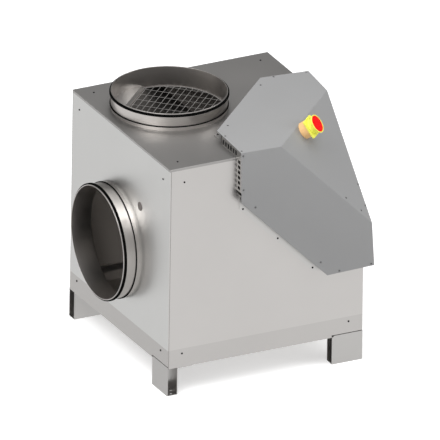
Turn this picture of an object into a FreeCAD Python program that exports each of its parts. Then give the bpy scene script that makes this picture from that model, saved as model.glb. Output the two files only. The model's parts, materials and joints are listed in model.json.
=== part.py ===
import FreeCAD, Part
import math
import os

# Insulated cube fan box, millimetres, +Z up, standing on the floor at z = 0.
# The origin lies on the floor under the middle of the cube.
# X runs to the right along the front, Y runs to the back.

# Casing
cube_side = 740.0
leg_height = 100.0
tray_height = 68.0
tray_sheet = 2.5
tray_flange = 19.0
wall_thickness = 12.0
lid_lip = 8.0
corner_radius = 3.0
lid_edge_radius = 2.5

# Legs, folded channels in a pinwheel under the tray's corners
leg_width = 39.0
leg_length = 115.0
leg_sheet = 2.5
leg_flange = 55.0
leg_lap = 6.0
leg_lap_gap = 2.5
leg_chamfer = 7.0
foot_hole_radius = 4.0
foot_hole_across = 31.0
foot_hole_along = 34.0
end_hole_across = 20.0
end_hole_along = 11.0

# Round duct collars, their seals and the wire guard
collar_radius = 199.0
collar_sheet = 2.5
collar_height = 63.0
seal_depth_outer = 3.0
seal_width_outer = 6.5
seal_stand_outer = 5.0
seal_depth_inner = 46.5
seal_width_inner = 4.0
seal_stand_inner = 3.6
outlet_from_left = 232.0
outlet_from_front = 472.0
inlet_from_front = 414.0
inlet_from_top = 424.0
guard_wire = 3.0
guard_depth = 9.0
guard_pitch = 21.4
guard_cross_pitch = 44.5
guard_ring_width = 4.0
guard_gap = 0.3

# Motor corner: the cube's front right top corner is left out and lined with a pan
pan_reach = 466.0
pan_sum = 592.0
pan_sheet = 3.0

# Diagonal partition between the inlet and outlet chambers
partition_sum = 1182.0
partition_sheet = 3.0
nozzle_mouth_radius = 190.0
nozzle_throat_radius = 128.0
nozzle_length = 110.0
nozzle_sheet = 2.5
nozzle_flange = 14.0

# Impeller and motor on the corner's body diagonal
impeller_radius = 200.0
impeller_eye_radius = 132.0
impeller_width = 120.0
impeller_back = 428.0
impeller_sheet = 3.0
blade_count = 7
blade_sheet = 3.0
hub_radius = 34.0
shaft_radius = 12.0
shaft_hole_radius = 30.0
motor_radius = 78.0
motor_length = 135.0
motor_flange_radius = 100.0
motor_flange_thickness = 10.0

# Faceted hood over the motor corner
hood_sheet = 2.0
hood_base = -5.5
hood_slope = 0.048
hood_reach = 485.4
hood_diagonal = 641.6
hood_end_sum = 290.0
grille_sheet = 2.0
grille_reach = 121.0
grille_flange = 15.0
slot_count = 6
slot_pitch = 19.1
slot_first = 12.5
slot_length = 17.5
slot_width = 12.0
slot_corner = 2.5
slot_stand = 4.0
rim_sheet = 2.0
rim_diagonal = 620.0
rim_foot = 49.6
rim_gap = 1.0
rim_reach = 477.0

# Rotary isolator on the hood's end face
isolator_u = 178.4
isolator_v = 108.9
isolator_base_radius = 30.0
isolator_base_height = 29.0
isolator_plate_side = 67.0
isolator_plate_thickness = 6.0
isolator_plate_corner = 4.0
knob_gap = 0.5
knob_height = 23.0
knob_foot_radius = 27.0
knob_neck_radius = 25.0
knob_rim_radius = 33.5
knob_rim_width = 3.5
knob_recess = 3.0
cap_dome = 2.0
cap_gap = 0.1

# Cable plug in the left wall
plug_radius = 15.5
plug_from_front = 223.0
plug_from_top = 224.0
plug_depth = 8.0
plug_stand = 1.5
plug_gap = 0.3

Vector = FreeCAD.Vector
half = cube_side / 2
floor_z = leg_height
tray_top = floor_z + tray_height
top_z = floor_z + cube_side
under_lid = top_z - lid_lip
ceiling_z = top_z - wall_thickness
inner = half - wall_thickness
far = 3 * cube_side
bore_radius = collar_radius - collar_sheet
diagonal = Vector(1, -1, 1).normalize()
along_edge = Vector(1, 1, 0).normalize()
across = diagonal.cross(along_edge)
corner = Vector(half, -half, top_z)
diagonal_turn = FreeCAD.Rotation(along_edge, across, diagonal, "ZXY")


def box(x0, x1, y0, y1, z0, z1):
    return Part.makeBox(x1 - x0, y1 - y0, z1 - z0, Vector(x0, y0, z0))


def cylinder(radius, height, base, direction=Vector(0, 0, 1)):
    return Part.makeCylinder(radius, height, base, direction)


def ring(outer, bore, height, base, direction=Vector(0, 0, 1)):
    return cylinder(outer, height, base, direction).cut(cylinder(bore, height, base, direction))


def revolve(points):
    """A solid of revolution about Z from a closed outline of (radius, height) points."""
    outline = Part.makePolygon([Vector(r, 0, z) for r, z in points + points[:1]])
    return Part.Face(outline).revolve(Vector(0, 0, 0), Vector(0, 0, 1), 360)


def upright(solid):
    """The edges that run along Z for most of the solid's height."""
    reach = solid.BoundBox.ZLength * 0.9
    return [edge for edge in solid.Edges if abs(edge.Vertexes[0].Z - edge.Vertexes[-1].Z) > reach]


# Corner coordinates: u, v and w are the depths behind the right, front and top faces.

def corner_point(u, v, w):
    return Vector(half - u, v - half, top_z - w)


def corner_plane(u, v, w, depth):
    """The plane u*U + v*V + w*W = depth, kept as a normal into the cube and an offset."""
    normal = Vector(-u, v, -w)
    return normal, depth + normal.dot(corner)


def moved(plane, distance):
    normal, offset = plane
    return normal, offset + distance * normal.Length


def meet(a, b, c):
    """The point that three planes share."""
    bc = b[0].cross(c[0])
    total = bc * a[1] + c[0].cross(a[0]) * b[1] + a[0].cross(b[0]) * c[1]
    return total * (1 / a[0].dot(bc))


def beyond(plane):
    """A block that fills the far side of a plane, deeper into the cube."""
    normal, offset = plane
    block = Part.makeBox(2 * far, 2 * far, far, Vector(-far, -far, 0))
    foot = normal * (offset / normal.dot(normal))
    turn = FreeCAD.Rotation(Vector(0, 0, 1), normal)
    middle = corner - foot
    slide = middle - normal * (middle.dot(normal) / normal.dot(normal))
    block.Placement = FreeCAD.Placement(foot + slide, turn)
    return block


def plate(plane, thickness, borders):
    """A sheet under a plane. Each border is a plane, and a depth that its inner edge follows."""
    below = moved(plane, thickness)
    outer = []
    inside = []
    for (first, first_depth), (second, second_depth) in zip(borders, borders[1:] + borders[:1]):
        outer.append(meet(plane, first, second))
        inside.append(meet(below, moved(first, first_depth), moved(second, second_depth)))
    faces = [Part.Face(Part.makePolygon(loop + loop[:1])) for loop in (outer, inside)]
    for i in range(len(outer)):
        j = (i + 1) % len(outer)
        side = [outer[i], outer[j], inside[j], inside[i], outer[i]]
        faces.append(Part.Face(Part.makePolygon(side)))
    solid = Part.makeSolid(Part.makeShell(faces))
    if solid.Volume < 0:
        solid.reverse()
    return solid


def on_diagonal(shape, depth):
    """Stand a shape made about Z on the body diagonal, its base at a depth behind the corner."""
    shape.Placement = FreeCAD.Placement(corner - diagonal * depth, diagonal_turn)
    return shape


def axis_plane(index, depth):
    weights = [0, 0, 0]
    weights[index] = 1
    return corner_plane(*weights, depth)


def skin_plane(index):
    weights = [hood_slope] * 3
    weights[index] = 1
    return corner_plane(*weights, hood_base)


def diagonal_plane(index, depth):
    """The plane that runs across the corner on the face of the given axis."""
    weights = [1, 1, 1]
    weights[index] = 0
    return corner_plane(*weights, depth)


def sum_plane(depth):
    return corner_plane(1, 1, 1, depth)


# Casing walls

def casing_form():
    """The cube's outer form, its upright and top edges rounded as folded sheet is."""
    block = box(-half, half, -half, half, floor_z, top_z)
    block = block.makeFillet(corner_radius, upright(block))
    top = [edge for edge in block.Edges if min(vertex.Z for vertex in edge.Vertexes) > top_z - 0.001]
    return block.makeFillet(lid_edge_radius, top)


def wall(quarter_turns):
    """One upright wall, mitred at the cube's corners. The front wall has no turn."""
    outline = [Vector(-half, -half, tray_top), Vector(half, -half, tray_top),
               Vector(inner, -inner, tray_top), Vector(-inner, -inner, tray_top)]
    face = Part.Face(Part.makePolygon(outline + outline[:1]))
    solid = face.extrude(Vector(0, 0, under_lid - tray_top)).common(casing_form())
    solid.rotate(Vector(0, 0, 0), Vector(0, 0, 1), 90 * quarter_turns)
    return solid


def pan_space(sheet):
    """The left out corner: three reach planes and the diagonal plane, less a lining sheet."""
    reach = pan_reach - sheet
    low = corner_point(reach, -wall_thickness, reach)
    space = Part.makeBox(reach + wall_thickness, reach + wall_thickness, reach + wall_thickness, low)
    return space.cut(beyond(moved(sum_plane(pan_sum), -sheet)))


def motor_pan():
    pan = pan_space(0).common(casing_form()).cut(pan_space(pan_sheet))
    return pan.cut(on_diagonal(cylinder(shaft_hole_radius, far, Vector(0, 0, -far / 2)), 0))


def inlet_centre():
    return Vector(-half, inlet_from_front - half, top_z - inlet_from_top)


def outlet_centre():
    return Vector(outlet_from_left - half, outlet_from_front - half, top_z)


def plug_centre():
    return Vector(-half, plug_from_front - half, top_z - plug_from_top)


def outlet_well():
    """The round outlet, cut short where the partition meets the lid."""
    well = cylinder(bore_radius, wall_thickness, outlet_centre() - Vector(0, 0, wall_thickness))
    return well.cut(beyond(sum_plane(partition_sum)))


def left_wall():
    panel = wall(3).cut(outlet_well())
    panel = panel.cut(cylinder(bore_radius, wall_thickness, inlet_centre(), Vector(1, 0, 0)))
    return panel.cut(cylinder(plug_radius + plug_gap, plug_depth, plug_centre(), Vector(1, 0, 0)))


def lid():
    panel = casing_form().common(box(-half, half, -half, half, under_lid, top_z))
    panel = panel.fuse(box(-inner, inner, -inner, inner, ceiling_z, under_lid))
    return panel.cut(pan_space(0)).cut(outlet_well()).removeSplitter()


def leg_notch(quarter_turns):
    """The step in the tray's lower edge that takes a leg's outer plate, with a gap above and beside it."""
    notch = box(-half, -half + leg_sheet, -half, -half + leg_length + leg_lap_gap,
                floor_z, floor_z + leg_lap + leg_lap_gap)
    notch.rotate(Vector(0, 0, 0), Vector(0, 0, 1), 90 * quarter_turns)
    return notch


def tray():
    """A pan of folded sheet. The walls stand on the flange round its top."""
    side = half - tray_sheet
    mouth = half - tray_flange
    slab = casing_form().common(box(-half, half, -half, half, floor_z, tray_top))
    hollow = box(-side, side, -side, side, floor_z + tray_sheet, tray_top - tray_sheet)
    opening = box(-mouth, mouth, -mouth, mouth, tray_top - tray_sheet, tray_top)
    return slab.cut([hollow, opening] + [leg_notch(turns) for turns in range(4)])


def leg(quarter_turns):
    """A folded channel, open at both ends. A flange lies under the tray, and the outer plate laps its side."""
    x0 = -half
    x1 = -half + leg_width
    y0 = -half
    y1 = -half + leg_length
    lap_top = leg_height + leg_lap
    channel = box(x0, x1, y0, y1, 0, leg_height)
    channel = channel.cut(box(x0 + leg_sheet, x1 - leg_sheet, y0, y1, leg_sheet, leg_height))
    flange = box(x1 - leg_sheet, x1 + leg_flange, y0, y1, leg_height - leg_sheet, leg_height)
    lap = box(x0, x0 + leg_sheet, y0, y1, leg_height, lap_top)
    clipped = [Vector(x0, y1, lap_top), Vector(x0, y1 - leg_chamfer, lap_top),
               Vector(x0, y1, lap_top - leg_chamfer)]
    clip = Part.Face(Part.makePolygon(clipped + clipped[:1])).extrude(Vector(leg_sheet, 0, 0))
    holes = [cylinder(foot_hole_radius, leg_sheet, Vector(x0 + across, y0 + along, 0))
             for across, along in ((foot_hole_across, foot_hole_along), (end_hole_across, end_hole_along))]
    solid = channel.fuse([flange, lap]).cut([clip] + holes).removeSplitter()
    solid.rotate(Vector(0, 0, 0), Vector(0, 0, 1), 90 * quarter_turns)
    return solid


# Duct collars

def collar(centre, direction):
    return ring(collar_radius, bore_radius, collar_height, centre, direction)


def seal(centre, direction, depth, width, stand):
    """A rubber lip ring round a collar, its outer corners bevelled."""
    outside = collar_radius + stand
    bevel = width * 0.3
    lip = revolve([(collar_radius, 0), (outside - bevel, 0), (outside, bevel),
                   (outside, width - bevel), (outside - bevel, width), (collar_radius, width)])
    base = centre + direction * (collar_height - depth - width)
    lip.Placement = FreeCAD.Placement(base, FreeCAD.Rotation(Vector(0, 0, 1), direction))
    return lip


def outlet_guard():
    """Welded wire grid at 45 degrees in the outlet, cut short where the partition is."""
    centre = outlet_centre() - Vector(0, 0, guard_depth)
    rim_radius = bore_radius - guard_gap
    grid_radius = rim_radius - guard_ring_width / 2
    span = 2 * rim_radius
    wires = []
    for pitch, level, turn in ((guard_pitch, 0, 45), (guard_cross_pitch, -guard_wire + 1, -45)):
        count = int(grid_radius / pitch)
        for i in range(-count, count + 1):
            wire = Part.makeBox(span, guard_wire, guard_wire,
                                Vector(-span / 2, i * pitch - guard_wire / 2, level - guard_wire))
            wire.rotate(Vector(0, 0, 0), Vector(0, 0, 1), turn)
            wires.append(wire)
    grid = wires[0].multiFuse(wires[1:])
    depth = 2 * guard_wire
    grid = grid.common(cylinder(grid_radius, depth, Vector(0, 0, -depth)))
    grid = grid.fuse(ring(rim_radius, rim_radius - guard_ring_width, guard_wire,
                          Vector(0, 0, -guard_wire)))
    grid.translate(centre)
    return grid.cut(beyond(moved(sum_plane(partition_sum), -guard_gap))).removeSplitter()


# Diagonal partition, nozzle, impeller and motor

def partition_depth():
    return partition_sum / math.sqrt(3)


def partition():
    mouth = half - tray_flange
    chamber = box(-inner, inner, -inner, inner, tray_top, ceiling_z)
    chamber = chamber.fuse(box(-mouth, mouth, -mouth, mouth, floor_z + tray_sheet, tray_top))
    near = sum_plane(partition_sum)
    sheet = chamber.common(beyond(near)).cut(beyond(moved(near, partition_sheet)))
    hole = cylinder(nozzle_mouth_radius, far, Vector(0, 0, -far / 2))
    return sheet.cut(on_diagonal(hole, partition_depth()))


def inlet_nozzle():
    """A bell mouth that leads from the partition's hole to the impeller's eye."""
    mouth = nozzle_mouth_radius - nozzle_sheet
    throat = nozzle_throat_radius
    height = nozzle_length
    wall_arc = Part.Arc(Vector(mouth, 0, 0), Vector(throat + (mouth - throat) * 0.25, 0, height * 0.42),
                        Vector(throat - nozzle_sheet, 0, height))
    outer_arc = Part.Arc(Vector(mouth + nozzle_sheet, 0, 0),
                         Vector(throat + nozzle_sheet + (mouth - throat) * 0.25, 0, height * 0.42 + 1),
                         Vector(throat, 0, height))
    lip = mouth + nozzle_sheet + nozzle_flange
    outline = Part.Wire([
        wall_arc.toShape(),
        Part.makeLine(Vector(throat - nozzle_sheet, 0, height), Vector(throat, 0, height)),
        outer_arc.toShape(),
        Part.makeLine(Vector(mouth + nozzle_sheet, 0, 0), Vector(mouth + nozzle_sheet, 0, -partition_sheet)),
        Part.makeLine(Vector(mouth + nozzle_sheet, 0, -partition_sheet), Vector(lip, 0, -partition_sheet)),
        Part.makeLine(Vector(lip, 0, -partition_sheet), Vector(lip, 0, -partition_sheet - nozzle_sheet)),
        Part.makeLine(Vector(lip, 0, -partition_sheet - nozzle_sheet),
                      Vector(mouth, 0, -partition_sheet - nozzle_sheet)),
        Part.makeLine(Vector(mouth, 0, -partition_sheet - nozzle_sheet), Vector(mouth, 0, 0)),
    ])
    bell = Part.Face(outline).revolve(Vector(0, 0, 0), Vector(0, 0, 1), 360)
    return on_diagonal(bell, partition_depth())


def blade(index):
    """One backward curved blade between the back plate and the shroud."""
    inner_radius = impeller_eye_radius - 8
    outer_radius = impeller_radius - 4
    start = Vector(inner_radius, 0, 0)
    sweep = math.radians(48)
    end = Vector(outer_radius * math.cos(sweep), outer_radius * math.sin(sweep), 0)
    middle = (start + end) * 0.5
    chord = end - start
    bulge = Vector(chord.y, -chord.x, 0) * 0.12
    path = Part.Arc(start, middle + bulge, end).toShape()
    surface = path.extrude(Vector(0, 0, -impeller_width))
    solid = surface.makeOffsetShape(blade_sheet, 0.01, fill=True)
    solid.rotate(Vector(0, 0, 0), Vector(0, 0, 1), 360 / blade_count * index)
    return solid


def impeller():
    back = cylinder(impeller_radius, impeller_sheet, Vector(0, 0, -impeller_sheet))
    hub = cylinder(hub_radius, 40, Vector(0, 0, -40))
    shroud = revolve([(impeller_eye_radius, -impeller_width), (impeller_radius, -impeller_width + 20),
                      (impeller_radius, -impeller_width + 20 - impeller_sheet),
                      (impeller_eye_radius, -impeller_width - impeller_sheet)])
    wheel = back.fuse([hub, shroud] + [blade(i) for i in range(blade_count)])
    wheel = wheel.cut(cylinder(shaft_radius, far, Vector(0, 0, -far / 2)))
    return on_diagonal(wheel, impeller_back)


def motor():
    """Motor body behind the pan, its flange on the pan and its shaft through to the impeller."""
    pan_depth = pan_sum / math.sqrt(3) - pan_sheet
    body = cylinder(motor_radius, motor_length, Vector(0, 0, 0))
    body = body.makeFillet(12, [body.Edges[0]])
    flange = cylinder(motor_flange_radius, motor_flange_thickness, Vector(0, 0, 0))
    shaft_length = impeller_back + 40 - pan_depth
    shaft = cylinder(shaft_radius - 0.05, shaft_length, Vector(0, 0, -shaft_length))
    return on_diagonal(body.fuse([flange, shaft]).removeSplitter(), pan_depth)


# Hood

def hood_skin(index):
    """One folded face of the hood: its two neighbours and the end face are mitred to it."""
    first, second = [axis for axis in (0, 1, 2) if axis != index]
    borders = [(skin_plane(second), hood_sheet), (axis_plane(first, hood_reach), 0),
               (diagonal_plane(index, hood_diagonal), 0), (axis_plane(second, hood_reach), 0),
               (skin_plane(first), hood_sheet), (sum_plane(hood_end_sum), hood_sheet)]
    return plate(skin_plane(index), hood_sheet, borders)


def hood_end():
    borders = [(skin_plane(axis), hood_sheet) for axis in (0, 1, 2)]
    return plate(sum_plane(hood_end_sum), hood_sheet, borders)


def slot(index, side, place):
    """An oblong slot with rounded corners, through the grille plate at the given axis."""
    solid = Part.makeBox(slot_length, slot_width, 4 * grille_sheet, Vector(0, -slot_width / 2, 0))
    solid = solid.makeFillet(slot_corner, upright(solid))
    directions = (Vector(-1, 0, 0), Vector(0, 1, 0), Vector(0, 0, -1))
    other = 3 - index - side
    out = directions[side] * -1
    depths = [0, 0, 0]
    depths[index] = hood_reach - 2 * grille_sheet
    depths[side] = -slot_stand
    depths[other] = place
    turn = FreeCAD.Rotation(out, directions[index].cross(out), directions[index], "ZXY")
    solid.Placement = FreeCAD.Placement(corner_point(*depths), turn)
    return solid


def under_skin(index):
    return moved(skin_plane(index), hood_sheet)


def hood_grille(index):
    """The L shaped slotted plate that closes the hood's arm round one cube edge.

    A folded flange along each outer edge lies under the skin there.
    """
    first, second = [axis for axis in (0, 1, 2) if axis != index]
    borders = [(under_skin(first), 0), (axis_plane(second, grille_reach), 0),
               (axis_plane(first, 0), 0), (axis_plane(second, 0), 0),
               (axis_plane(first, grille_reach), 0), (under_skin(second), 0)]
    panel = plate(axis_plane(index, hood_reach), -grille_sheet, borders)
    fold = axis_plane(index, hood_reach - grille_flange)
    flanges = [plate(under_skin(side), grille_sheet,
                     [(axis_plane(index, hood_reach), 0), (axis_plane(other, grille_reach), 0),
                      (fold, 0), (under_skin(other), 0)])
               for side, other in ((first, second), (second, first))]
    slots = [slot(index, side, slot_first + i * slot_pitch)
             for side in (first, second) for i in range(slot_count)]
    return panel.cut(slots).fuse(flanges).removeSplitter()


def hood_rim(index):
    """A Z section set back under the hood's diagonal edge.

    Its foot runs out over the casing. Its top flange runs in under the skin, up to the grilles.
    """
    first, second = [axis for axis in (0, 1, 2) if axis != index]
    ends = [(axis_plane(axis, rim_reach), 0) for axis in (first, second)]

    def strip(plane, thickness, border, opposite):
        return plate(plane, thickness, [(border, 0), ends[0], (opposite, 0), ends[1]])

    stand = diagonal_plane(index, rim_diagonal)
    web = strip(stand, -rim_sheet, under_skin(index), axis_plane(index, 0))
    foot = strip(axis_plane(index, 0), -rim_sheet, diagonal_plane(index, rim_diagonal - rim_sheet),
                 diagonal_plane(index, rim_diagonal + rim_foot))
    flange = strip(under_skin(index), rim_sheet,
                   diagonal_plane(index, rim_reach + grille_reach + rim_gap), stand)
    return web.fuse([foot, flange]).removeSplitter()


# Rotary isolator

def isolator_centre():
    return corner_point(isolator_u, isolator_v, hood_end_sum - isolator_u - isolator_v)


def on_isolator(shape):
    shape.Placement = FreeCAD.Placement(isolator_centre(), diagonal_turn)
    return shape


def isolator_base():
    return on_isolator(cylinder(isolator_base_radius, isolator_base_height, Vector(0, 0, 0)))


def isolator_plate():
    side = isolator_plate_side
    square = Part.makeBox(side, side, isolator_plate_thickness,
                          Vector(-side / 2, -side / 2, isolator_base_height))
    return on_isolator(square.makeFillet(isolator_plate_corner, upright(square)))


def knob_base():
    return isolator_base_height + isolator_plate_thickness + knob_gap


def isolator_knob():
    """A waisted round handle with a shallow recess for its cap."""
    low = knob_base()
    high = low + knob_height
    seat = high - knob_recess
    bore = knob_rim_radius - knob_rim_width
    waist = Part.Arc(Vector(knob_foot_radius, 0, low), Vector(knob_neck_radius, 0, low + knob_height * 0.4),
                     Vector(knob_rim_radius, 0, high - 2))
    corners = [Vector(knob_rim_radius, 0, high - 2), Vector(knob_rim_radius, 0, high),
               Vector(bore, 0, high), Vector(bore, 0, seat), Vector(0, 0, seat),
               Vector(0, 0, low), Vector(knob_foot_radius, 0, low)]
    outline = Part.Wire([waist.toShape()] + [Part.makeLine(a, b) for a, b in zip(corners, corners[1:])])
    return on_isolator(Part.Face(outline).revolve(Vector(0, 0, 0), Vector(0, 0, 1), 360))


def isolator_cap():
    """The cap: a disc in the knob's recess with a low dome."""
    seat = knob_base() + knob_height - knob_recess
    edge = seat + knob_recess - 1
    radius = knob_rim_radius - knob_rim_width - cap_gap
    flat = radius / 8
    dome = Part.Arc(Vector(radius, 0, edge), Vector(radius / 2, 0, edge + cap_dome * 0.75),
                    Vector(flat, 0, edge + cap_dome))
    corners = [Vector(flat, 0, edge + cap_dome), Vector(0, 0, edge + cap_dome), Vector(0, 0, seat),
               Vector(radius, 0, seat), Vector(radius, 0, edge)]
    outline = Part.Wire([dome.toShape()] + [Part.makeLine(a, b) for a, b in zip(corners, corners[1:])])
    return on_isolator(Part.Face(outline).revolve(Vector(0, 0, 0), Vector(0, 0, 1), 360))


def cable_plug():
    base = plug_centre() - Vector(plug_stand, 0, 0)
    return cylinder(plug_radius, plug_depth + plug_stand, base, Vector(1, 0, 0))


up = Vector(0, 0, 1)
left = Vector(-1, 0, 0)
parts = {
    "base_tray": tray(),
    "front_wall": wall(0).cut(pan_space(0)),
    "right_wall": wall(1).cut(pan_space(0)),
    "back_wall": wall(2),
    "left_wall": left_wall(),
    "lid": lid(),
    "leg_front_left": leg(0),
    "leg_front_right": leg(1),
    "leg_back_right": leg(2),
    "leg_back_left": leg(3),
    "inlet_collar": collar(inlet_centre(), left),
    "inlet_seal_outer": seal(inlet_centre(), left, seal_depth_outer, seal_width_outer, seal_stand_outer),
    "inlet_seal_inner": seal(inlet_centre(), left, seal_depth_inner, seal_width_inner, seal_stand_inner),
    "outlet_collar": collar(outlet_centre(), up),
    "outlet_seal_outer": seal(outlet_centre(), up, seal_depth_outer, seal_width_outer, seal_stand_outer),
    "outlet_seal_inner": seal(outlet_centre(), up, seal_depth_inner, seal_width_inner, seal_stand_inner),
    "outlet_guard": outlet_guard(),
    "partition": partition(),
    "inlet_nozzle": inlet_nozzle(),
    "impeller": impeller(),
    "motor_pan": motor_pan(),
    "motor": motor(),
    "hood_top": hood_skin(2),
    "hood_front": hood_skin(1),
    "hood_right": hood_skin(0),
    "hood_end": hood_end(),
    "hood_grille_left": hood_grille(0),
    "hood_grille_back": hood_grille(1),
    "hood_grille_bottom": hood_grille(2),
    "hood_rim_top": hood_rim(2),
    "hood_rim_front": hood_rim(1),
    "hood_rim_right": hood_rim(0),
    "isolator_base": isolator_base(),
    "isolator_plate": isolator_plate(),
    "isolator_knob": isolator_knob(),
    "isolator_cap": isolator_cap(),
    "cable_plug": cable_plug(),
}

os.makedirs("parts", exist_ok=True)
for name, shape in parts.items():
    shape.exportStep(f"parts/{name}.step")
    size = shape.BoundBox
    print(f"{name}: {len(shape.Solids)} solid, valid {shape.isValid()}, volume {shape.Volume / 1000:.1f} cm3, "
          f"x {size.XMin:.1f} to {size.XMax:.1f}, y {size.YMin:.1f} to {size.YMax:.1f}, "
          f"z {size.ZMin:.1f} to {size.ZMax:.1f}")
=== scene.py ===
# %% [markdown]
# # An insulated cube fan box with a faceted motor hood
#
# The real object is a steel box on four folded legs. Air enters a round collar in the left wall and
# leaves through one in the lid. A folded grey hood covers the corner where the motor sits, and a
# rotary isolator is fixed to the hood's end face.
#
# The solid model is loaded first and stays as it is. This lesson dresses it: it adds a finish to each
# flat sheet, and models the round parts, the wires and the screws again with smooth faces.

import json
import math

import bmesh
import bpy
from mathutils import Matrix, Vector


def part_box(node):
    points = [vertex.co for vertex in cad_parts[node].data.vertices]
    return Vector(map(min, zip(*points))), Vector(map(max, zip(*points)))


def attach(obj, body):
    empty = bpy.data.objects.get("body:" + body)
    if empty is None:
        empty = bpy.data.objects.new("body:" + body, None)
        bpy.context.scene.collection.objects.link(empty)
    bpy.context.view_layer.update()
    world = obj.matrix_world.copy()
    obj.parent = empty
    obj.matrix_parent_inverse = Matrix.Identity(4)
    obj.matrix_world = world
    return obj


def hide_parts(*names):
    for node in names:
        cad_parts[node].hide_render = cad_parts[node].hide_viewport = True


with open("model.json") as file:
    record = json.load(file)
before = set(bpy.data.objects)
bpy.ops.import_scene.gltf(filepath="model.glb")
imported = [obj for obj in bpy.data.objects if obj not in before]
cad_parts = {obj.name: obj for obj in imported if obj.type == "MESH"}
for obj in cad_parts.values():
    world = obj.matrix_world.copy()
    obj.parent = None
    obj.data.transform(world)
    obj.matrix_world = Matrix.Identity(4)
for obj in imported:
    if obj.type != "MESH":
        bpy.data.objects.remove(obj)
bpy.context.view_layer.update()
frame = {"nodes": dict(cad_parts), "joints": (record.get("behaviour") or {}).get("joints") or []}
nodes = frame["nodes"]

# %% [markdown]
# Most places below come from the solid model's own boxes. Three corner planes are enough to place
# anything on this object: the right, front and top faces of the cube, which meet under the hood.
# A point is then given by its depths behind these faces.

# %% Measure the cube
MM = 0.001
tray_low, tray_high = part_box("base_tray")
lid_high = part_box("lid")[1]
cube_corner = Vector((tray_high.x, tray_low.y, lid_high.z))
cube_side = tray_high.x - tray_low.x


def behind(right, front, top):
    """The point at these depths behind the right, front and top faces."""
    return cube_corner + Vector((-right, front, -top))


print("cube side", round(cube_side, 4), "corner", cube_corner[:])

# %% [markdown]
# ## Camera
#
# The picture was made without perspective: parallel edges stay parallel. An orthographic camera does
# the same, and its scale says how many metres fit across the image. Its turn is built from an
# azimuth, an elevation and a small roll, in that order from the outside in.

# %% Place the camera
VIEW_AZIMUTH = math.radians(-27.035)
VIEW_ELEVATION = math.radians(24.186)
VIEW_ROLL = math.radians(0.862)
VIEW_WIDTH = 1.4913
VIEW_TARGET = Vector((0.0819, 0.1409, 0.3622))
VIEW_DISTANCE = 5.0

camera = bpy.data.objects.new("camera", bpy.data.cameras.new("camera"))
bpy.context.scene.collection.objects.link(camera)
turn = (Matrix.Rotation(VIEW_AZIMUTH, 4, "Z")
        @ Matrix.Rotation(math.pi / 2 - VIEW_ELEVATION, 4, "X")
        @ Matrix.Rotation(VIEW_ROLL, 4, "Z"))
camera.matrix_world = Matrix.Translation(VIEW_TARGET) @ turn @ Matrix.Translation((0, 0, VIEW_DISTANCE))
camera.data.type = "ORTHO"
camera.data.ortho_scale = VIEW_WIDTH
bpy.context.scene.camera = camera
print("camera at", camera.matrix_world.translation[:])

# %% [markdown]
# ## Node maths in Python
#
# A finish is a small network of nodes. Writing it as Python expressions keeps it readable: a Wire is
# one output socket, and plus, minus and times on it add the Math nodes, on either side. Every other node
# comes from one method that first sets the node's options and then its sockets. The sky is such a
# network too, so what both of them need is in a class of its own.

# %% Define networks, finishes and wires
class Wire:
    """An output socket in one network, for use in expressions."""

    def __init__(self, network, socket):
        self.network = network
        self.socket = socket

    def maths(self, operation, first, second=0.0):
        return self.network.node("ShaderNodeMath", {"operation": operation}, {0: first, 1: second})

    def __add__(self, other):
        return self.maths("ADD", self, other)

    def __radd__(self, other):
        return self.maths("ADD", other, self)

    def __sub__(self, other):
        return self.maths("SUBTRACT", self, other)

    def __rsub__(self, other):
        return self.maths("SUBTRACT", other, self)

    def __mul__(self, other):
        return self.maths("MULTIPLY", self, other)

    def __rmul__(self, other):
        return self.maths("MULTIPLY", other, self)

    def __abs__(self):
        return self.maths("ABSOLUTE", self)

    def below(self, limit):
        return self.maths("LESS_THAN", self, limit)


class Network:
    """The nodes of one tree."""

    def __init__(self, tree):
        self.tree = tree

    def node(self, kind, settings, sockets, output=0):
        """Adds a node, sets its options, then its sockets, and returns one output."""
        made = self.tree.nodes.new(kind)
        for name, value in settings.items():
            if name == "stops":
                self.set_stops(made.color_ramp, value)
            else:
                setattr(made, name, value)
        for name, value in sockets.items():
            self.feed(made.inputs[name], value)
        return Wire(self, made.outputs[output])

    def set_stops(self, ramp, stops):
        while len(ramp.elements) < len(stops):
            ramp.elements.new(0.5)
        for element, (place, colour) in zip(ramp.elements, stops):
            element.position = place
            element.color = (*colour, 1)

    def feed(self, socket, value):
        if isinstance(value, Wire):
            self.tree.links.new(value.socket, socket)
        else:
            socket.default_value = value

    def ramp(self, factor, stops):
        return self.node("ShaderNodeValToRGB", {"stops": stops}, {0: factor})

    def blend(self, factor, first, second, how="MIX"):
        """Mixes two colours. A plain colour is given as four numbers."""
        settings = {"data_type": "RGBA", "blend_type": how}
        return self.node("ShaderNodeMix", settings, {"Factor": factor, 6: first, 7: second}, 2)


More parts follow.
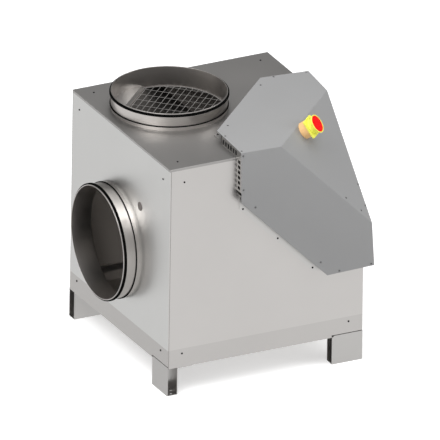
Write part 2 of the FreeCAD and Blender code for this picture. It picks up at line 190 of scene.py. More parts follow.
class Finish(Network):
    """One material with its node network."""

    def __init__(self, name):
        self.material = bpy.data.materials.new(name)
        self.material.use_nodes = True
        super().__init__(self.material.node_tree)
        self.shader = self.tree.nodes["Principled BSDF"]

    def shade(self, **sockets):
        """Sets the shader's own sockets. An underscore stands for a space in a socket's name."""
        for name, value in sockets.items():
            self.feed(self.shader.inputs[name.replace("_", " ")], value)

    def place(self):
        """The point on the piece, in metres."""
        return self.node("ShaderNodeTexCoord", {}, {}, "Object")

    def stretched(self, scale):
        """The point on the piece, scaled by a different amount along X, Y and Z."""
        return self.node("ShaderNodeMapping", {}, {"Vector": self.place(), "Scale": scale})

    def part(self, axis):
        """One coordinate of the point on the piece."""
        return self.node("ShaderNodeSeparateXYZ", {}, {0: self.place()}, axis)

    def noise(self, scale, detail, vector=None):
        where = self.place() if vector is None else vector
        return self.node("ShaderNodeTexNoise", {}, {"Vector": where, "Scale": scale, "Detail": detail})

    def tinted(self, factor, tone, low, high):
        """A tone that goes from a low to a high share of itself with the factor."""
        return self.blend(factor, share_of(tone, low), share_of(tone, high))

    def bump(self, height, distance, strength):
        sockets = {"Height": height, "Distance": distance, "Strength": strength}
        return self.node("ShaderNodeBump", {}, sockets)


def share_of(tone, share):
    """The tone times the share, as the four numbers of a colour."""
    return (*[min(1.0, part * share) for part in tone], 1)


print("a finish adds the methods", [name for name in vars(Finish) if not name.startswith("_")])

# %% [markdown]
# ## Floor, sky and lamps
#
# The casing is satin metal, so what stands around it matters as much as the lamps. Its front and
# left faces mirror the pale floor. The camera and the mirroring sheets see a glow in the floor, which
# keeps the shadow faint, as on a product picture.

# %% Build the floor
FLOOR_SIZE = 60.0
FLOOR_SEEN = (1.0, 1.0, 1.0, 1)
FLOOR_MIRRORED = (0.18, 0.18, 0.18, 1)
FLOOR_TONE = (0.58, 0.58, 0.58, 1)
FLOOR_GLOW = (0.36, 0.36, 0.36, 1)
MIRRORED_GLOW = (0.74, 0.74, 0.74, 1)
NO_GLOW = (0, 0, 0, 1)

bm = bmesh.new()
bmesh.ops.create_grid(bm, x_segments=1, y_segments=1, size=FLOOR_SIZE / 2)
floor_mesh = bpy.data.meshes.new("floor")
bm.to_mesh(floor_mesh)
bm.free()
floor = bpy.data.objects.new("floor", floor_mesh)
bpy.context.scene.collection.objects.link(floor)

floor_finish = Finish("floor_white")
seen = floor_finish.node("ShaderNodeLightPath", {}, {}, "Is Camera Ray")
glossy = floor_finish.node("ShaderNodeLightPath", {}, {}, "Is Glossy Ray")
through = floor_finish.node("ShaderNodeLightPath", {}, {}, "Is Transmission Ray")
mirrored = floor_finish.blend(glossy, FLOOR_TONE, FLOOR_MIRRORED)
glow = floor_finish.blend(seen, floor_finish.blend(glossy, NO_GLOW, MIRRORED_GLOW), FLOOR_GLOW)
floor_finish.shade(Base_Color=floor_finish.blend(seen + through, mirrored, FLOOR_SEEN), Roughness=0.9,
                   Specular_IOR_Level=0.0, Emission_Strength=1.0, Emission_Color=glow)
floor_mesh.materials.append(floor_finish.material)
print("floor of", FLOOR_SIZE, "m")

# %% [markdown]
# The casing's top mirrors the sky low behind it. A sky that is dull grey low down and bright overhead
# gives a dark top face and well lit matt sheets. In front it is paler, which keeps a dark band off
# the collars. Where the camera sees the sky itself, it is plain white.

# %% Build the sky
SKY_STOPS = [(0.0, (0.24, 0.24, 0.24)), (0.28, (0.12, 0.12, 0.12)), (0.54, (0.18, 0.18, 0.18)),
             (0.74, (1.00, 1.00, 1.00)), (1.0, (1.68, 1.68, 1.68))]
SKY_FRONT = (0.62, 0.62, 0.62, 1)
SKY_FRONT_START = -0.30
SKY_FRONT_FULL = -0.75
SKY_SEEN = (1.0, 1.0, 1.0, 1)

world = bpy.data.worlds.new("sky")
bpy.context.scene.world = world
world.use_nodes = True
sky = Network(world.node_tree)
sky_point = sky.node("ShaderNodeTexCoord", {}, {}, "Generated")
height = sky.node("ShaderNodeSeparateXYZ", {}, {0: sky_point}, "Z")
toward_back = sky.node("ShaderNodeSeparateXYZ", {}, {0: sky_point}, "Y")
reach = {"Value": toward_back, "From Min": SKY_FRONT_START, "From Max": SKY_FRONT_FULL}
in_front = sky.node("ShaderNodeMapRange", {}, reach)
sky_tone = sky.blend(in_front, sky.ramp(height, SKY_STOPS), SKY_FRONT, "LIGHTEN")
seen = sky.node("ShaderNodeLightPath", {}, {}, "Is Camera Ray")
sky.feed(sky.tree.nodes["Background"].inputs["Color"], sky.blend(seen, sky_tone, SKY_SEEN))
print("sky of", len(SKY_STOPS), "tones")

# %% [markdown]
# One big soft lamp at the upper left gives a soft shadow, and a weaker one at the right lights the
# hood. Both are wide squares that face the object, because a small lamp would draw hard edges.

# %% Hang the lamps
LAMP_DISTANCE = 4.0


def lamp(name, toward, size, power):
    """A square soft lamp that looks at the origin from the given direction."""
    made = bpy.data.objects.new(name, bpy.data.lights.new(name, "AREA"))
    direction = Vector(toward).normalized()
    made.data.size = size
    made.data.energy = power
    made.location = direction * LAMP_DISTANCE
    made.rotation_mode = "QUATERNION"
    made.rotation_quaternion = direction.to_track_quat("Z", "Y")
    bpy.context.scene.collection.objects.link(made)
    print(name, "at", made.location[:])


lamp("main_lamp", toward=(-0.60, -0.28, 0.78), size=2.2, power=58.0)
lamp("fill_lamp", toward=(0.74, -0.46, 0.52), size=1.7, power=30.0)
bpy.context.scene.view_settings.view_transform = "Standard"

# %% [markdown]
# ## Finishes of the casing
#
# Satin sheet is metal with a soft, even blur. Two things keep it from looking like plastic: a faint
# cloudiness in the roughness, and a slight change of tone from place to place. The sheet stays flat,
# because a bump this fine would only flicker at the picture's size. Where two sheets meet on one
# flat side, a thin dark line stands for the joint. The left sides of the tray and the legs are a
# little darker: this is painted shade.
#
# The walls are lined. Their solids are one piece, so the finish itself changes with the depth: what
# lies more than a few millimetres inside the cube is a dull brown lining, without any metal. On the
# motor's side of the partition it is darker, as painted shade.

# %% Satin sheet
SEAM_DARK = (0.10, 0.095, 0.09, 1)
LINING = (0.54, 0.495, 0.455, 1)
OUTLET_LINING_PAINTED_SHADE = (0.28, 0.255, 0.235, 1)
LINING_BLUR = 0.4
BLUR_SPREAD = 0.06
LEFT_DEPTH = 3 * MM
WALL_LINED = (10 * MM, 0.0, lid_high.z - 10 * MM)
# On the tray the two heights are set so that the pale lining shows only as a lit strip on the inner sides,
# between a dark band under the flange and the dark floor: painted light and shade.
TRAY_PAINTED_LIT_BAND = (1 * MM, tray_low.z + 3 * MM, tray_high.z - 31 * MM)
# On the partition the depths behind the cube's three faces add up to this, in metres.
PARTITION_SUM = 1.182
cube_half = cube_side / 2


def inside_casing(finish, depth, bottom, top):
    """One where a piece lies deeper than this in the cube, between two heights."""
    level = finish.part("Z")
    across = abs(finish.part("X")).below(cube_half - depth)
    along = abs(finish.part("Y")).below(cube_half - depth)
    return across * along * level.below(top) * (1.0 - level.below(bottom))


def motor_side(finish):
    """One on the motor's side of the partition."""
    corner_sum = cube_corner.x - cube_corner.y + cube_corner.z
    depth_sum = finish.part("Y") - finish.part("X") - finish.part("Z") + corner_sum
    return depth_sum.below(PARTITION_SUM)


def satin(name, tone, roughness, seams=(), lined=None, painted_shade_share=1.0):
    """Satin sheet. A seam is an axis letter, a place and a width; lined is a depth and two heights.

    On the casing's left side only a share of the tone is kept, given by the last argument: painted shade.
    """
    finish = Finish(name)
    cloud = finish.noise(4.0, 3.0)
    colour = finish.tinted(cloud, tone, 0.95, 1.04)
    # Painted shade: the casing's left side is darkened to a share of the tone.
    if painted_shade_share < 1.0:
        left_shade_mask = finish.part("X").below(tray_low.x + LEFT_DEPTH)
        colour = finish.blend(left_shade_mask, colour, share_of(tone, painted_shade_share))
    line = None
    for axis, place, width in seams:
        mark = abs(finish.part(axis) - place).below(width / 2)
        line = mark if line is None else line.maths("MAXIMUM", line, mark)
    if line is not None:
        colour = finish.blend(line, colour, SEAM_DARK)
    blur = roughness - BLUR_SPREAD / 2 + cloud * BLUR_SPREAD
    metal = 1.0
    if lined:
        inside = inside_casing(finish, *lined)
        colour = finish.blend(inside, colour, LINING)
        # Painted shade: the lining on the motor's side of the partition is darker.
        colour = finish.blend(inside * motor_side(finish), colour, OUTLET_LINING_PAINTED_SHADE)
        blur = blur + inside * LINING_BLUR
        metal = 1.0 - inside
    finish.shade(Base_Color=colour, Metallic=metal, Roughness=blur)
    return finish


CASING_TONE = (0.615, 0.596, 0.580)
SIDE_TONE = (0.612, 0.610, 0.599)
# The lid's tone is darker than the walls' to keep the top face dark: painted shade.
LID_PAINTED_SHADE_TONE = (0.430, 0.419, 0.408)
TRAY_TONE = (0.560, 0.543, 0.528)
LEG_TONE = (0.545, 0.533, 0.520)
TRIM_TONE = (0.600, 0.590, 0.575)
# The share of the tone kept on the left sides of the tray and the legs: painted shade.
LEFT_PAINTED_SHADE_SHARE = 0.86
CASING_BLUR = 0.35
LID_BLUR = 0.42
TRIM_BLUR = 0.32
SEAM_INSET = 4.2 * MM
SEAM_WIDTH = 1.2 * MM
LIP_DEPTH = 8 * MM
LIP_SEAM_WIDTH = 1.4 * MM

left_seam = ("X", tray_low.x + SEAM_INSET, SEAM_WIDTH)
lip_seam = ("Z", lid_high.z - LIP_DEPTH, LIP_SEAM_WIDTH)
wall_steel = {
    "front_wall": satin("wall_satin_front", CASING_TONE, CASING_BLUR, [left_seam], lined=WALL_LINED),
    "right_wall": satin("wall_satin_right", SIDE_TONE, CASING_BLUR,
                        [lip_seam, ("Y", tray_low.y + SEAM_INSET, SEAM_WIDTH)], lined=WALL_LINED),
    "back_wall": satin("wall_satin_back", CASING_TONE, CASING_BLUR,
                       [lip_seam, ("X", tray_high.x - SEAM_INSET, SEAM_WIDTH)], lined=WALL_LINED),
    "left_wall": satin("wall_satin_left", SIDE_TONE, CASING_BLUR,
                       [lip_seam, ("Y", tray_high.y - SEAM_INSET, SEAM_WIDTH)], lined=WALL_LINED),
}
lid_steel = satin("lid_satin_painted_shade", LID_PAINTED_SHADE_TONE, LID_BLUR, lined=WALL_LINED)
tray_steel = satin("tray_satin", TRAY_TONE, TRIM_BLUR, [left_seam], lined=TRAY_PAINTED_LIT_BAND, painted_shade_share=LEFT_PAINTED_SHADE_SHARE)
leg_steel = satin("leg_satin", LEG_TONE, TRIM_BLUR, painted_shade_share=LEFT_PAINTED_SHADE_SHARE)
trim_steel = satin("trim_satin", TRIM_TONE, TRIM_BLUR)
print("satin finishes made for", len(wall_steel), "walls, lid, tray, legs and trim")

# %% [markdown]
# The collars are the same metal, and a rolled collar has fine lines that run round it. Noise that is
# stretched along two axes and squeezed along the third draws them. The sheets inside the box are plain
# and rougher, and their tones are set darker as painted shade for the little light inside; the
# partition's is darkest. The guard's wires are dull zinc without a mirror image. The steep upper wires
# are painted lighter, and the hoop and the lower cross wires darker: painted light and shade.

# %% Rolled and inner sheet
LINE_STRETCH = 4.0
LINE_SQUEEZE = 700.0
FLAKE_SCALE = 60.0


def rolled(name, tone, axis):
    """Rolled satin sheet with fine lines square to the given axis."""
    finish = Finish(name)
    scale = [LINE_SQUEEZE if letter == axis else LINE_STRETCH for letter in "XYZ"]
    lines = finish.noise(1.0, 2.0, finish.stretched(scale))
    cloud = finish.noise(6.0, 2.0)
    colour = finish.tinted(lines, tone, 0.92, 1.0)
    finish.shade(Base_Color=colour, Metallic=1.0, Roughness=0.28 + lines * 0.04 + cloud * 0.04,
                 Normal=finish.bump(lines, 0.0001, 0.2))
    return finish


def plain_sheet(name, tone, roughness, metal=0.9):
    """Zinc coated steel with a broken pattern of dull and bright flakes."""
    finish = Finish(name)
    sockets = {"Vector": finish.place(), "Scale": FLAKE_SCALE}
    flakes = finish.node("ShaderNodeTexVoronoi", {"feature": "F1"}, sockets, "Color")
    flake = finish.node("ShaderNodeSeparateColor", {}, {0: flakes})
    colour = finish.tinted(flake, tone, 0.85, 1.1)
    finish.shade(Base_Color=colour, Metallic=metal, Roughness=roughness + flake * 0.1)
    return finish


COLLAR_TONE = (0.63, 0.60, 0.575)
inlet_steel = rolled("collar_rolled_inlet", COLLAR_TONE, "X")
outlet_steel = rolled("collar_rolled_outlet", COLLAR_TONE, "Z")
# Painted shade: the inner sheet and, darker still, the partition have tones set low for the little light
# inside the box.
inner_steel = plain_sheet("inner_sheet", (0.40, 0.37, 0.345), 0.42)
partition_shade_steel = plain_sheet("partition_sheet_painted_shade", (0.18, 0.17, 0.16), 0.50)
# Painted light and shade: the steep wires get a lighter copy of the zinc, the cross wires and hoop a darker
# one.
lit_wire_steel = plain_sheet("guard_wire_zinc_painted_light", (0.315, 0.303, 0.292), 0.55, 0.0)
shaded_cross_wire_steel = plain_sheet("guard_cross_wire_zinc_painted_shade", (0.21, 0.20, 0.193), 0.60, 0.0)
print("rolled and inner sheet finishes made")

# %% [markdown]
# ## Finishes of the hood, fan and switch
#
# The hood is powder coated: matt, slightly grainy, and lit by everything around it, with no mirror
# image. The fan and the motor are painted in the same way. Rubber and moulded plastic are further plain
# shaders, each with its own fine texture, and the small screws and rivets use the moulded one.

# %% Powder coat, paint, rubber and plastic
def powder(name, tone, roughness=0.62):
    """Powder coat: an even colour, a fine orange peel and faint clouds."""
    finish = Finish(name)
    cloud = finish.noise(4.0, 4.0)
    peel = finish.noise(420.0, 2.0)
    colour = finish.tinted(cloud, tone, 0.965, 1.03)
    finish.shade(Base_Color=colour, Roughness=roughness + cloud * 0.06, Specular_IOR_Level=0.35,
                 Normal=finish.bump(peel, 0.0002, 0.25))
    return finish


def moulded(name, tone, roughness, sheen=0.3):
    """Moulded plastic with a faint grain."""
    finish = Finish(name)
    grain = finish.noise(700.0, 2.0)
    cloud = finish.noise(30.0, 2.0)
    colour = finish.tinted(cloud, tone, 0.96, 1.02)
    finish.shade(Base_Color=colour, Roughness=roughness + grain * 0.05, Specular_IOR_Level=sheen,
                 Normal=finish.bump(grain, 0.0001, 0.15))
    return finish


def rubber(name, tone):
    """Matt rubber, paler on worn spots."""
    finish = Finish(name)
    worn = finish.noise(120.0, 3.0)
    finish.shade(Base_Color=finish.ramp(worn, [(0.4, tone), (0.8, [c * 2.2 for c in tone])]),
                 Roughness=0.80 + worn * 0.1, Specular_IOR_Level=0.04,
                 Normal=finish.bump(worn, 0.0002, 0.3))
    return finish


hood_paint = powder("hood_powder", (0.322, 0.322, 0.324))
fan_paint = powder("fan_paint", (0.09, 0.09, 0.095), 0.5)
motor_paint = powder("motor_paint", (0.13, 0.14, 0.16), 0.45)
orange_plastic = moulded("switch_orange", (1.0, 0.62, 0.29), 0.45)
yellow_plastic = moulded("switch_yellow", (1.0, 1.0, 0.14), 0.36)
red_plastic = moulded("switch_red", (1.0, 0.004, 0.004), 0.45, 0.15)
plug_plastic = moulded("plug_plastic", (0.19, 0.17, 0.16), 0.55)
seal_rubber = rubber("seal_rubber", (0.002, 0.002, 0.002))
screw_steel = moulded("screw_black", (0.012, 0.012, 0.012), 0.50, 0.1)
rivet_steel = moulded("rivet_grey", (0.16, 0.16, 0.16), 0.50, 0.2)
print(len(bpy.data.materials), "finishes in all")

# %% [markdown]
# The walls, the lid, the tray, the legs, the grilles and the fan have their right shape in the solid
# model, with their folds and cut edges. They keep it, and only their finish is new.

# %% Dress the flat sheets
SHEET_FINISHES = {
    **{finish: [name] for name, finish in wall_steel.items()},
    lid_steel: ["lid"],
    tray_steel: ["base_tray"],
    leg_steel: ["leg_front_left", "leg_front_right", "leg_back_right", "leg_back_left"],
    inner_steel: ["motor_pan"],
    partition_shade_steel: ["partition"],
    trim_steel: ["hood_grille_left", "hood_grille_back", "hood_grille_bottom", "hood_rim_top",
                 "hood_rim_front", "hood_rim_right"],
    motor_paint: ["motor"],
    fan_paint: ["impeller"],
}
for finish, names in SHEET_FINISHES.items():
    for name in names:
        nodes[name].data.materials.clear()
        nodes[name].data.materials.append(finish.material)
print("dressed", sum(len(names) for names in SHEET_FINISHES.values()), "solid pieces as they are")

# %% [markdown]
# ## Round parts
#
# Collars, seals, the nozzle and the switch are all turned shapes. One helper spins an outline of
# radius and height once round the Z axis, a second stands the result on the object, and a third
# makes the finished object, with smooth faces but crisp edges.

# %% Helpers for new pieces
SMOOTH_ANGLE = math.radians(35)
CORNER_STEPS = 3
SAME_POINT = 1e-6


def turned(outline, steps, closed=True):
    """Spins (radius, height) points once round Z. A closed outline makes a tube wall."""
    bm = bmesh.new()
    points = [bm.verts.new((radius, 0, height)) for radius, height in outline]
    ends = points[1:] + points[:1] if closed else points[1:]
    edges = [bm.edges.new(pair) for pair in zip(points, ends)]
    bmesh.ops.spin(bm, geom=points + edges, axis=(0, 0, 1), cent=(0, 0, 0), angle=2 * math.pi,
                   steps=steps, use_merge=True)
    bmesh.ops.remove_doubles(bm, verts=bm.verts, dist=SAME_POINT)
    bmesh.ops.recalc_face_normals(bm, faces=bm.faces)
    return bm


def stood(bm, origin, up, across=None):
    """Moves a mesh made about Z so that Z points up and its base sits on the origin."""
    up = Vector(up).normalized()
    side = Vector(across).normalized() if across else up.orthogonal().normalized()
    turn = Matrix((side, up.cross(side), up)).transposed().to_4x4()
    bmesh.ops.transform(bm, matrix=Matrix.Translation(origin) @ turn, verts=bm.verts)
    return bm


def finished(bm, name, finish, body="casing", replaced=()):
    """Turns a bmesh into a piece of the object."""
    mesh = bpy.data.meshes.new(name)
    bm.to_mesh(mesh)
    bm.free()
    mesh.polygons.foreach_set("use_smooth", [True] * len(mesh.polygons))
    mesh.set_sharp_from_angle(angle=SMOOTH_ANGLE)
    mesh.materials.append(finish.material)
    piece = bpy.data.objects.new(name, mesh)
    bpy.context.scene.collection.objects.link(piece)
    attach(piece, body)
    if replaced:
        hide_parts(*replaced)
    print(name, "has", len(mesh.polygons), "faces")


def rounded(points, radius):
    """Rounds every corner of a closed outline with a short arc of the given radius."""
    made = []
    for i, here in enumerate(points):
        before = Vector(points[i - 1])
        after = Vector(points[(i + 1) % len(points)])
        here = Vector(here)
        start = here + (before - here).normalized() * radius
        end = here + (after - here).normalized() * radius
        for step in range(CORNER_STEPS + 1):
            share = step / CORNER_STEPS
            made.append(tuple(start.lerp(here, share).lerp(here.lerp(end, share), share)))
    return made


print("helpers ready")

# %% [markdown]
# A duct collar is a strip of sheet rolled to a ring. Its free edge is slightly rounded, which gives
# the thin bright line round the mouth, and its other end is tucked through the wall. Each of its two
# seals is a rubber band with rounded lips. It is as wide as it looks, and not as in the solid: the
# outer one is wider, and the inner one is narrower. A hundred and twenty eight steps keep the big
# rings round at this size.

# %% Collars and seals
RING_STEPS = 128
EDGE_ROUND = 0.6 * MM
COLLAR_SHEET = 2.5 * MM
COLLAR_TUCK = 12.5 * MM
COLLAR_LINER = 0.15 * MM
SEAL_BITE = 0.2 * MM
SEAL_ROUND_SHARE = 0.15
# The share of the solid seal's width, and how much of the rest lies on the mouth's side.
SEAL_SHARE = {"outer": (1.28, 0.0), "inner": (0.6, 0.5)}


def collar(side, outward, finish):
    """The collar and seals on one side of the casing, measured from the solid model."""
    axis = max(range(3), key=lambda i: abs(outward[i]))
    low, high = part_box(side + "_collar")
    middle = (low + high) / 2
    height = high[axis] - low[axis]
    base = middle - outward * height / 2
    outer = (high[(axis + 1) % 3] - low[(axis + 1) % 3]) / 2
    bore = outer - COLLAR_SHEET - COLLAR_LINER
    wall = rounded([(bore, -COLLAR_TUCK), (outer, -COLLAR_TUCK), (outer, height), (bore, height)],
                   EDGE_ROUND)
    finished(stood(turned(wall, RING_STEPS), base, outward), side + "_collar_rolled", finish,
             replaced=[side + "_collar"])
    for place in ("outer", "inner"):
        seal(side, place, base, outward, axis, outer)
    return base


def seal(side, place, base, outward, axis, inside):
    """One rubber lip ring on a collar."""
    node = side + "_seal_" + place
    low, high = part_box(node)
    share, shift = SEAL_SHARE[place]
    solid_width = high[axis] - low[axis]
    width = solid_width * share
    mouth_edge = abs(((low + high) / 2 - base)[axis]) + solid_width / 2
    outer = (high[(axis + 1) % 3] - low[(axis + 1) % 3]) / 2
    start = mouth_edge - width - (solid_width - width) * shift
    bite = inside - SEAL_BITE
    band = rounded([(bite, start), (outer, start), (outer, start + width), (bite, start + width)],
                   width * SEAL_ROUND_SHARE)
    finished(stood(turned(band, RING_STEPS), base, outward), node + "_lip", seal_rubber,
             replaced=[node])


inlet_base = collar("inlet", Vector((-1, 0, 0)), inlet_steel)
outlet_base = collar("outlet", Vector((0, 0, 1)), outlet_steel)
print("collars on", inlet_base[:], "and", outlet_base[:])

# %% [markdown]
# ## Wire guard
#
# The guard in the outlet is a grid of round wires welded at 45 degrees to the casing, in a flat hoop.
# Each wire is a thin cylinder as long as the chord that it spans, and the hoop is a turned ring. The
# guard ends where the partition meets the lid, so a bisecting plane trims every wire there.

# %% Guard in the outlet
GUARD_PITCH = 21.4 * MM
GUARD_CROSS_PITCH = 44.5 * MM
WIRE_RADIUS = 0.75 * MM
WIRE_SIDES = 10
WELD_DEPTH = 0.3 * MM
HOOP_WIDTH = 4 * MM
HOOP_LOW = -2 * MM
HOOP_HIGH = 1.5 * MM
HOOP_ROUND = 1 * MM
UP = Vector((0, 0, 1))

guard_low, guard_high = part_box("outlet_guard")
guard_radius = (guard_high.x - guard_low.x) / 2
guard_middle = Vector(((guard_low.x + guard_high.x) / 2, outlet_base.y, guard_high.z - WIRE_RADIUS))


def wires(pitch, direction, level):
    """Parallel wires across the circle, as one mesh."""
    bm = bmesh.new()
    across = UP.cross(direction)
    reach = guard_radius - WIRE_RADIUS
    count = int(reach / pitch)
    for i in range(-count, count + 1):
        half_chord = math.sqrt(reach ** 2 - (i * pitch) ** 2)
        place = guard_middle + across * i * pitch + UP * level
        turn = direction.to_track_quat("Z", "X").to_matrix().to_4x4()
        bmesh.ops.create_cone(bm, cap_ends=True, segments=WIRE_SIDES, radius1=WIRE_RADIUS,
                              radius2=WIRE_RADIUS, depth=2 * half_chord,
                              matrix=Matrix.Translation(place) @ turn)
    return bm


def trimmed(bm):
    """Cuts away what lies behind the partition and closes the cut wires."""
    plane_point = behind(PARTITION_SUM, 0, 0)
    inward = Vector((-1, 1, -1)).normalized()
    cut = bmesh.ops.bisect_plane(bm, geom=bm.verts[:] + bm.edges[:] + bm.faces[:], plane_co=plane_point,
                                 plane_no=inward, clear_outer=True, dist=SAME_POINT)
    loops = [item for item in cut["geom_cut"] if isinstance(item, bmesh.types.BMEdge)]
    bmesh.ops.holes_fill(bm, edges=loops, sides=0)
    return bm


along = Vector((1, 1, 0)).normalized()
over = Vector((1, -1, 0)).normalized()
finished(trimmed(wires(GUARD_PITCH, along, 0)), "outlet_guard_wires", lit_wire_steel,
         replaced=["outlet_guard"])
finished(trimmed(wires(GUARD_CROSS_PITCH, over, WELD_DEPTH - 2 * WIRE_RADIUS)), "outlet_guard_cross_wires",
         shaded_cross_wire_steel)
hoop_inside = guard_radius - HOOP_WIDTH
hoop = rounded([(hoop_inside, HOOP_LOW), (guard_radius, HOOP_LOW), (guard_radius, HOOP_HIGH),
                (hoop_inside, HOOP_HIGH)], HOOP_ROUND)
finished(trimmed(stood(turned(hoop, RING_STEPS), guard_middle, UP)), "outlet_guard_hoop", shaded_cross_wire_steel)

# %% [markdown]
# ## Inlet nozzle
#
# Behind the inlet a sloping partition carries a bell mouth that leads the air into the fan. It is
# sheet spun over a form, so its wall is one smooth curve from the wide flange to the throat. A quarter
# of an ellipse gives that curve, and the outline is turned like the collars.

# %% Nozzle on the partition
BODY_DIAGONAL = Vector((1, -1, 1)).normalized()
NOZZLE_MOUTH = 187.5 * MM
NOZZLE_THROAT = 125.5 * MM
NOZZLE_LENGTH = 110 * MM
NOZZLE_SHEET = 2.5 * MM
NOZZLE_FLANGE = 14 * MM
PARTITION_SHEET = 3 * MM
BELL_STEPS = 18
NOZZLE_STEPS = 96


def bell(radius_gain):
    """Points down the bell's wall, from the mouth to the throat: a quarter of an ellipse."""
    points = []
    for step in range(BELL_STEPS + 1):
        angle = math.pi / 2 * step / BELL_STEPS
        radius = NOZZLE_MOUTH - (NOZZLE_MOUTH - NOZZLE_THROAT) * math.sin(angle)
        points.append((radius + radius_gain, NOZZLE_LENGTH * (1 - math.cos(angle))))
    return points


lip = NOZZLE_MOUTH + NOZZLE_SHEET + NOZZLE_FLANGE
under = -PARTITION_SHEET - NOZZLE_SHEET
nozzle_outline = (bell(0) + bell(NOZZLE_SHEET)[::-1]
                  + [(NOZZLE_MOUTH + NOZZLE_SHEET, -PARTITION_SHEET), (lip, -PARTITION_SHEET), (lip, under),
                     (NOZZLE_MOUTH, under)])
partition_point = cube_corner - BODY_DIAGONAL * PARTITION_SUM / math.sqrt(3)
finished(stood(turned(nozzle_outline, NOZZLE_STEPS), partition_point, BODY_DIAGONAL), "inlet_nozzle_spun",
         inner_steel, replaced=["inlet_nozzle"])

# %% [markdown]
# ## Folded hood
#
# The hood is one sheet, folded over the corner, so its folds are round and not mitred. Its outer face
# is laid out from planes: three skins that slope a little, a cut across the corner, and the limits of
# each skin. A corner of the hood is the point that three such planes share, found by solving three
# equations. The sheet is given its thickness first, and then the outer edges of the folds are bevelled.

# %% Hood from planes
HOOD_SHEET = 2 * MM
HOOD_BASE = -5.5 * MM
HOOD_SLOPE = 0.048
HOOD_REACH = 485.4 * MM
HOOD_DIAGONAL = 641.6 * MM
HOOD_END_SUM = 290 * MM
FOLD_ROUND = 2 * MM
FOLD_STEPS = 4
SAME_CORNER = 1e-5
PLACE_DIGITS = 5


def weights(index, own, others):
    """Three weights of a plane, one for each depth: the axis at this index has its own."""
    return [own if axis == index else others for axis in range(3)]


def shared_point(*planes):
    """The point that three planes share. Each plane is three weights and a depth."""
    rows = Matrix([weight for weight, _ in planes])
    return behind(*(rows.inverted() @ Vector([depth for _, depth in planes])))


def skin_corners(index):
    """The six corners of one skin, in order round it."""
    first, second = [axis for axis in range(3) if axis != index]
    skin = {axis: (weights(axis, 1, HOOD_SLOPE), HOOD_BASE) for axis in range(3)}
    reach = {axis: (weights(axis, 1, 0), HOOD_REACH) for axis in range(3)}
    diagonal = (weights(index, 0, 1), HOOD_DIAGONAL)
    end = ((1, 1, 1), HOOD_END_SUM)
    borders = [skin[second], reach[first], diagonal, reach[second], skin[first], end]
    return [shared_point(skin[index], a, b) for a, b in zip(borders, borders[1:] + borders[:1])]


def rounded_place(vert):
    """A corner's place, rounded so that it can be found again after the sheet has its thickness."""
    return tuple(round(part, PLACE_DIGITS) for part in vert.co)


bm = bmesh.new()
outlines = [skin_corners(index) for index in range(3)]
# The end face shares its three corners with the skins.
outlines.append([outlines[0][4], outlines[0][5], outlines[1][5]])
for outline in outlines:
    bm.faces.new([bm.verts.new(point) for point in outline])
bmesh.ops.remove_doubles(bm, verts=bm.verts, dist=SAME_CORNER)
folds = [edge for edge in bm.edges if len(edge.link_faces) == 2]
ends = [rounded_place(vert) for edge in folds for vert in edge.verts]
bmesh.ops.recalc_face_normals(bm, faces=bm.faces)
bmesh.ops.solidify(bm, geom=bm.faces[:], thickness=HOOD_SHEET)
bmesh.ops.recalc_face_normals(bm, faces=bm.faces)
outer_folds = [edge for edge in bm.edges if all(rounded_place(vert) in ends for vert in edge.verts)]
bmesh.ops.bevel(bm, geom=outer_folds, offset=FOLD_ROUND, segments=FOLD_STEPS, profile=0.5, affect="EDGES",
                material=-1)
finished(bm, "hood_folded", hood_paint,
         replaced=["hood_top", "hood_front", "hood_right", "hood_end"])

# %% [markdown]
# ## Rotary isolator
#
# The switch stands square on the hood's end face: an orange drum, a yellow plate and a yellow handle
# with a red cap. All are moulded, so every edge has a small round. The round pieces are turned, and
# the plate is a cube with bevelled edges. The handle is waisted, which leaves a wide rim for the hand.
# The joint of the solid model gives the direction.

# %% Isolator parts
SWITCH_DEPTHS = (178.4 * MM, 108.9 * MM, 2.7 * MM)
DRUM_RADIUS = 30 * MM
DRUM_HEIGHT = 29 * MM
DRUM_ROUND = 1.5 * MM
PLATE_SIDE = 67 * MM
PLATE_THICKNESS = 6 * MM
PLATE_CORNER = 4 * MM
PLATE_CORNER_STEPS = 6
PLATE_EDGE = 0.8 * MM
PLATE_EDGE_STEPS = 3
EDGE_ANGLE = math.radians(60)
KNOB_GAP = 0.5 * MM
KNOB_HEIGHT = 23 * MM
KNOB_FOOT = 27 * MM
KNOB_NECK = 25 * MM
KNOB_RIM = 33.5 * MM
KNOB_RIM_WIDTH = 3.5 * MM
KNOB_RIM_HEIGHT = 3 * MM
KNOB_ROUND = 1 * MM
KNOB_RECESS = 3 * MM
KNOB_STEPS = 72
WAIST_STEPS = 12
CAP_GAP = 0.1 * MM
CAP_WALL = 1.6 * MM
CAP_BEVEL = (0.8 * MM, 2.3 * MM)
CAP_DOME = 1.7 * MM
CAP_STEPS = 8

switch_axis = Vector(frame["joints"][0]["axis"]).normalized()
switch_foot = behind(*SWITCH_DEPTHS)


def switch_part(bm, name, finish, body, replaced):
    """A piece of the switch, made about Z and stood on the hood."""
    finished(stood(bm, switch_foot, switch_axis, along), name, finish, body, replaced)


drum = turned([(0, 0), (DRUM_RADIUS, 0), (DRUM_RADIUS, DRUM_HEIGHT - DRUM_ROUND),
               (DRUM_RADIUS - 0.4 * MM, DRUM_HEIGHT - 0.5 * MM), (DRUM_RADIUS - DRUM_ROUND, DRUM_HEIGHT),
               (0, DRUM_HEIGHT)], KNOB_STEPS, closed=False)
switch_part(drum, "isolator_drum", orange_plastic, "casing", ["isolator_base"])

